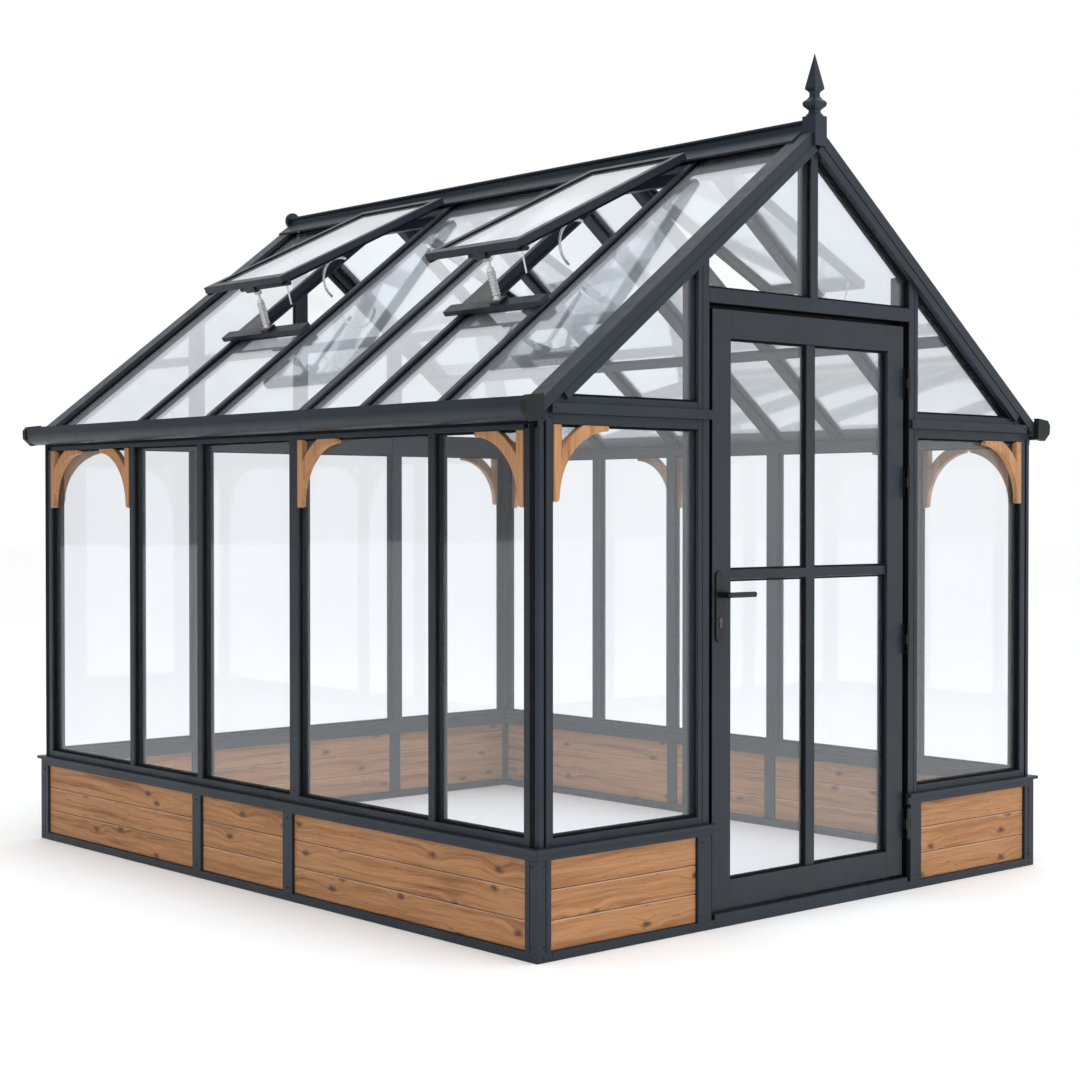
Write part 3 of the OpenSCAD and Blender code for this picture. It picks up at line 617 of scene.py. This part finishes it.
def make_frame_screws():
    """Screws through the short posts of the dwarf wall, the posts, the rails and the mouldings."""
    bm = bmesh.new()
    sole_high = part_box("sole_frame")[1]
    cap_low, cap_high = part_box("base_caps")
    post_low, post_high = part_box("door_posts")
    rail_low, rail_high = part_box("eave_rails")
    mould_low, mould_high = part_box("gable_drip_moulds")
    side, end_wall = sole_high.x, sole_high.y
    corner_in = 28 * MM
    sole_z, foot_z, top_z = 14 * MM, 46 * MM, cap_low.z - 18 * MM
    for y in (-end_wall + corner_in, *BASE_POSTS_Y, end_wall - corner_in):
        for z in (foot_z, top_z, sole_z):
            add_screw(bm, (side, y, z), (1, 0, 0))
    for end in (-1, 1):
        for z in (sole_z, foot_z, top_z):
            add_screw(bm, (side - corner_in, end * end_wall, z), (0, end, 0))
    for z in (foot_z, top_z):
        add_screw(bm, (post_high.x - 8 * MM, -end_wall, z), (0, -1, 0), 0.9)
    for y in (THIN_POSTS_Y[0], MAIN_POST_Y, *THIN_POSTS_Y[1:]):
        add_screw(bm, (rail_high.x, y, cap_high.z + 40 * MM), (1, 0, 0), 0.8)
        add_screw(bm, (rail_high.x, y, rail_low.z - 16 * MM), (1, 0, 0), 0.8)
    for end in (-1, 1):
        for x in (mould_high.x - 12 * MM, MOULD_SCREW_X):
            add_screw(bm, (x, end * mould_high.y, (mould_low.z + mould_high.z) / 2),
                      (0, end, 0), 0.9)
        for z in (cap_high.z + 12 * MM, rail_low.z + 34 * MM):
            add_screw(bm, (rail_high.x - 50 * MM, -end * post_low.y, z), (0, end, 0), 0.8)
    add_mirrored(bm, 0)
    new_piece("frame_screws", bm, "house", black_metal)


def make_lock_screws():
    """Screws at the top and foot of the lock plates."""
    bm = bmesh.new()
    low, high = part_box("lock_plates")
    middle = (low.x + high.x) / 2
    for z in (low.z + 14 * MM, high.z - 14 * MM):
        add_screw(bm, (middle, low.y, z), (0, -1, 0), 0.85)
        add_screw(bm, (middle, high.y, z), (0, 1, 0), 0.85)
    new_piece("lock_plate_screws", bm, "door", black_metal)


# ---- Vent gear ----

def add_arc_rod(bm, centre, radius, thick, start, sweep):
    """A round rod bent to an arc in the plane square to the building's length, on the slope."""
    before = set(bm.verts)
    place = Matrix.Rotation(-start, 4, "Y") @ Matrix.Translation((radius, 0, 0))
    ring = bmesh.ops.create_circle(bm, cap_ends=True, segments=12, radius=thick,
                                   matrix=place)["verts"]
    faces = list({f for v in ring for f in v.link_faces})
    bmesh.ops.spin(bm, geom=faces, cent=(0, 0, 0), axis=(0, -1, 0), dvec=(0, 0, 0), angle=sweep,
                   steps=18, use_merge=False)
    made = list(set(bm.verts) - before)
    bmesh.ops.remove_doubles(bm, verts=made, dist=1e-6)
    made = list(set(bm.verts) - before)
    bmesh.ops.recalc_face_normals(bm, faces=list({f for v in made for f in v.link_faces}))
    bmesh.ops.transform(bm, matrix=SLOPE @ Matrix.Translation(centre), verts=made)


# The opener's sleeve: pressed rings at an even pitch along the wax cylinder, in mm.
SLEEVE_R = 12.2
SLEEVE_FOOT = 7
SLEEVE_TOP = 105
RING_ROOT_R = 12.4
RING_R = 15.0
RINGS = 7
RING_PITCH = 12
FIRST_RING = 14

# Half outlines of the pin through each end of the opener, and of the flap's stay, in mm.
PIN = [(0, 0), (7, 0), (8, 1), (8, 33), (7, 34), (0, 34)]
STAY = [(0, 0), (5, 0), (5, 18), (3.2, 22), (3.2, 96), (0, 98)]
STAY_TURN = math.radians(170)

# The return spring's middle down the slope, its bend and wire, and where the bend starts and how
# far it goes round.
SPRING_U = 0.685
SPRING_R = 82 * MM
SPRING_WIRE_R = 5 * MM
SPRING_START = math.radians(-22)
SPRING_SWEEP = math.radians(165)

# Where the lifting arm starts down the flap, and the water strip's share of the flap's width.
ARM_TOP = 0.52
WATER_STRIP_SHARE = 0.62


def in_mm(outline):
    """An outline drawn in mm, in metres."""
    return [(r * MM, z * MM) for r, z in outline]


def add_opener(silver, bay):
    """The sleeve of the opener and the pins through both of its ends."""
    opener = on_opener(bay)
    rings = []
    for k in range(RINGS):
        z = FIRST_RING + RING_PITCH * k
        rings += [(RING_ROOT_R, z), (RING_R, z + 3), (RING_R, z + 7), (RING_ROOT_R, z + 10)]
    outline = [(0, SLEEVE_FOOT), (SLEEVE_R, SLEEVE_FOOT + 1), *rings,
               (SLEEVE_R, SLEEVE_TOP - 1), (0, SLEEVE_TOP)]
    add_turned(silver, in_mm(outline), opener, 20)
    half_pin = 17 * MM
    for z in (0.0, OPENER_LEN - 8 * MM):
        across = opener @ Matrix.Translation((0, half_pin, z)) @ Matrix.Rotation(math.pi / 2, 4, "X")
        add_turned(silver, in_mm(PIN), across, 16)


def add_spring_and_stay(silver, bay):
    """The bent return spring by the bar on the door side, and the thin stay under the flap."""
    add_arc_rod(silver, (SPRING_U, bay[0] + 52 * MM, 38 * MM), SPRING_R, SPRING_WIRE_R,
                SPRING_START, SPRING_SWEEP)
    foot = on_flap(bay) @ Matrix.Translation((VENT_LEN - 46 * MM, 40 * MM, 0))
    add_turned(silver, in_mm(STAY), foot @ Matrix.Rotation(STAY_TURN, 4, "Y"), 12)


def add_flap_fittings(black, rubber, bay):
    """The lifting arm, the water strip under the lower rail and the seals of the side rails."""
    flap = on_flap(bay)
    wide = bay[1] - bay[0]
    arm_y = opener_y(bay) - bay[0]
    half_arm = 9 * MM
    add_block(black, (ARM_TOP, arm_y - half_arm, -12 * MM),
              (VENT_LEN - 60 * MM, arm_y + half_arm, -2 * MM), 2 * MM, 2, flap)
    strip_r, strip_len = 9 * MM, wide * WATER_STRIP_SHARE
    outline = [(0, 0), (5 * MM, 0.8 * MM), (strip_r, 5 * MM), (strip_r, strip_len), (0, strip_len)]
    near_end = flap @ Matrix.Translation((VENT_LEN - 19 * MM, -22 * MM, -strip_r))
    add_turned(black, outline, near_end @ Matrix.Rotation(-math.pi / 2, 4, "X"), 14)
    seal_in, seal_w = 4 * MM, 12 * MM
    for y in (seal_in, wide - seal_in - seal_w):
        add_block(rubber, (30 * MM, y, -9 * MM), (VENT_LEN - seal_in, y + seal_w, 0), 1.5 * MM, 2,
                  flap)


def add_sill_fittings(black, bay):
    """The gusset between the sill and the bar on the opener's far side, and the sill's under-edge."""
    foot_u = VENT_FOOT - 20 * MM
    far_y = bay[1] - 18 * MM
    corners = [(foot_u, opener_y(bay) + 24 * MM), (foot_u, far_y), (foot_u - 190 * MM, far_y)]
    verts = [black.verts.new(SLOPE @ Vector((u, y, -6 * MM))) for u, y in corners]
    plate = black.faces.new(verts)
    lift = SLOPE.to_3x3() @ Vector((0, 0, 5 * MM))
    raised = bmesh.ops.extrude_face_region(black, geom=[plate], use_keep_orig=True)["geom"]
    bmesh.ops.translate(black, vec=lift,
                        verts=[g for g in raised if isinstance(g, bmesh.types.BMVert)])
    past_bay = 8 * MM
    add_block(black, (VENT_FOOT + 8 * MM, bay[0] - past_bay, -2 * MM),
              (VENT_FOOT + 21 * MM, bay[1] + past_bay, 1.5 * MM), 1 * MM, 2, SLOPE)


def make_vent_gear():
    """What shows round each open vent on both slopes."""
    black = bmesh.new()
    rubber = bmesh.new()
    silver = bmesh.new()
    for bay in VENT_BAYS:
        add_opener(silver, bay)
        add_spring_and_stay(silver, bay)
        add_flap_fittings(black, rubber, bay)
        add_sill_fittings(black, bay)
    for bm in (black, rubber, silver):
        bmesh.ops.recalc_face_normals(bm, faces=bm.faces)
        add_mirrored(bm, 0)
    new_piece("vent_arms", black, "house", black_metal)
    new_piece("vent_seals", rubber, "house", rubber_and_shade_black)
    new_piece("vent_springs", silver, "house", bright_metal)


# ---- Camera and light ----

CAMERA_PLACE = (-5.1407, -5.9154, 1.3378)
CAMERA_YAW = math.radians(41.627)
CAMERA_DIP = math.radians(0.867)
LENS = 66.70
SENSOR = 36.0


def set_camera():
    """A level look at the door's corner of the building from its front left."""
    lens = bpy.data.cameras.new("camera")
    lens.lens = LENS
    lens.sensor_width = SENSOR
    camera = bpy.data.objects.new("camera", lens)
    camera.location = CAMERA_PLACE
    camera.rotation_euler = (math.pi / 2 - CAMERA_DIP, 0, -CAMERA_YAW)
    bpy.context.scene.collection.objects.link(camera)
    bpy.context.scene.camera = camera


# Where the studio is darkest, and how light it is there.
SHADE_FROM = (-0.76, 0.40, -0.51)
SHADE_LEVEL = 0.34
OPEN_LEVEL = 1.04
CEILING_STRENGTH = 0.42
OVERHEAD_POWER = 300.0
INSIDE_POWER = 10.0


def soft_light(name, place, aim, size, power):
    """A round soft lamp that lights the building without showing in its glass."""
    lamp = bpy.data.lights.new(name, "AREA")
    lamp.shape = "DISK"
    lamp.size = size
    lamp.energy = power
    light = bpy.data.objects.new(name, lamp)
    light.location = place
    light.rotation_euler = (Vector(aim) - Vector(place)).to_track_quat("-Z", "Y").to_euler()
    light.visible_camera = light.visible_glossy = False
    bpy.context.scene.collection.objects.link(light)


def set_light():
    """White studio light from all round and above, and a lamp that lights the ground inside."""
    scene = bpy.context.scene
    scene.view_settings.view_transform = "Standard"
    world = bpy.data.worlds.new("studio")
    world.use_nodes = True
    tree = world.node_tree
    sky = tree.nodes["Background"]
    # The backdrop is plain white. What it sends on to the building is weaker low on the left.
    aim = add(tree, "TexCoord").outputs["Generated"]
    side = add(tree, "VectorMath", {0: aim}, {1: SHADE_FROM},
               operation="DOT_PRODUCT").outputs["Value"]
    lit = between(tree, side, -0.45, 0.72, OPEN_LEVEL, SHADE_LEVEL)
    seen = add(tree, "LightPath").outputs["Is Camera Ray"]
    level = add(tree, "Mix", {"Factor": seen, "A": lit}, {"B": 1.0}).outputs["Result"]
    tree.links.new(level, sky.inputs["Strength"])
    sky.inputs["Color"].default_value = (1, 1, 1, 1)
    scene.world = world
    sun = bpy.data.lights.new("ceiling", "SUN")
    sun.energy = CEILING_STRENGTH
    sun.angle = math.radians(90)
    ceiling = bpy.data.objects.new("ceiling", sun)
    scene.collection.objects.link(ceiling)
    soft_light("overhead", (-1.5, -2.5, 9.0), (0, 0, 0), 7.0, OVERHEAD_POWER)
    soft_light("under_eaves", (0, 0, 1.5), (0, 0, 0), 2.0, INSIDE_POWER)


FLOOR_HALF_W = 60.0


def lay_floor():
    """The plain pale studio floor, a hair under the building."""
    material, tree, out = new_finish("studio_floor")
    place = add(tree, "TexCoord").outputs["Object"]
    tone = ramp(tree, noise(tree, place, 0.6, 3.0),
                [(0.3, (0.95, 0.95, 0.955)), (0.7, (0.97, 0.97, 0.972))])
    body = add(tree, "BsdfPrincipled", {"Base Color": tone}, {"Roughness": 0.8})
    tree.links.new(body.outputs["BSDF"], out.inputs["Surface"])
    bm = bmesh.new()
    bmesh.ops.create_grid(bm, x_segments=1, y_segments=1, size=FLOOR_HALF_W,
                          matrix=Matrix.Translation((0, 0, -0.5 * MM)))
    mesh = bpy.data.meshes.new("floor")
    bm.to_mesh(mesh)
    bm.free()
    mesh.materials.append(material)
    floor = bpy.data.objects.new("floor", mesh)
    bpy.context.scene.collection.objects.link(floor)


# ---- Put together ----

EASED_METAL = (
    "sole_frame", "base_posts", "base_caps", "threshold", "corner_posts", "wall_posts",
    "sill_rails", "eave_rails", "door_posts", "rear_posts", "gable_rails", "gable_drip_moulds",
    "door_head", "king_posts", "rakes", "gable_rafters", "roof_bars", "ridge_cap", "vent_curbs",
    "vent_frames", "door_stiles", "door_rails", "door_bars", "gutter_ends", "lock_plates",
    "opener_brackets", "purlins",
)

set_camera()
set_light()
lay_floor()
finish_nodes()
make_boards("side_boards", "base_panels_side", 1, 11)
make_boards("gable_boards", "base_panels_gable", 0, 23)
make_battens("side_board_battens", "base_panels_side")
make_battens("gable_board_battens", "base_panels_gable")
make_seals_and_shade()
shade_corner_grooves()
make_base_post_joints()
shade_eave_gaps()
make_gable_cover_strips()
shade_door_rebate()
shade_leaf_edge()
make_frame_screws()
make_lock_screws()
make_vent_gear()
for metal in EASED_METAL:
    ease_edges(metal, 1.0 * MM)
ease_edges("corner_brackets", 2.5 * MM, 3)
